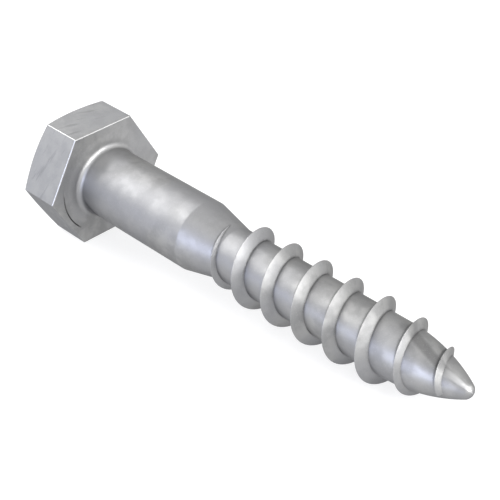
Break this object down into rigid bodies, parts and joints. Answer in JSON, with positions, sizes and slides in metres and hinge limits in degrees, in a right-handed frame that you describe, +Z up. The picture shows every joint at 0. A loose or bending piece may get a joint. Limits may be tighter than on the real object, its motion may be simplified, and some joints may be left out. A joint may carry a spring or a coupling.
{
  "type": "coach screw",
  "caption": "Coach screw with a hexagon head, raised round seat, plain shank, coarse right-hand wood thread and rounded point, lying on its side.",
  "frame": {"origin": "middle of the screw's box, on the surface that the screw lies on", "axes": "+Z up, +X along the screw towards its point, which dips 3.56 degrees below the level"},
  "size_m": [0.0716, 0.0196, 0.0174],
  "materials": {
    "zinc_coated_steel": "satin zinc coating"
  },
  "bodies": {
    "root": {"coach_screw": "zinc_coated_steel"}
  },
  "joints": []
}
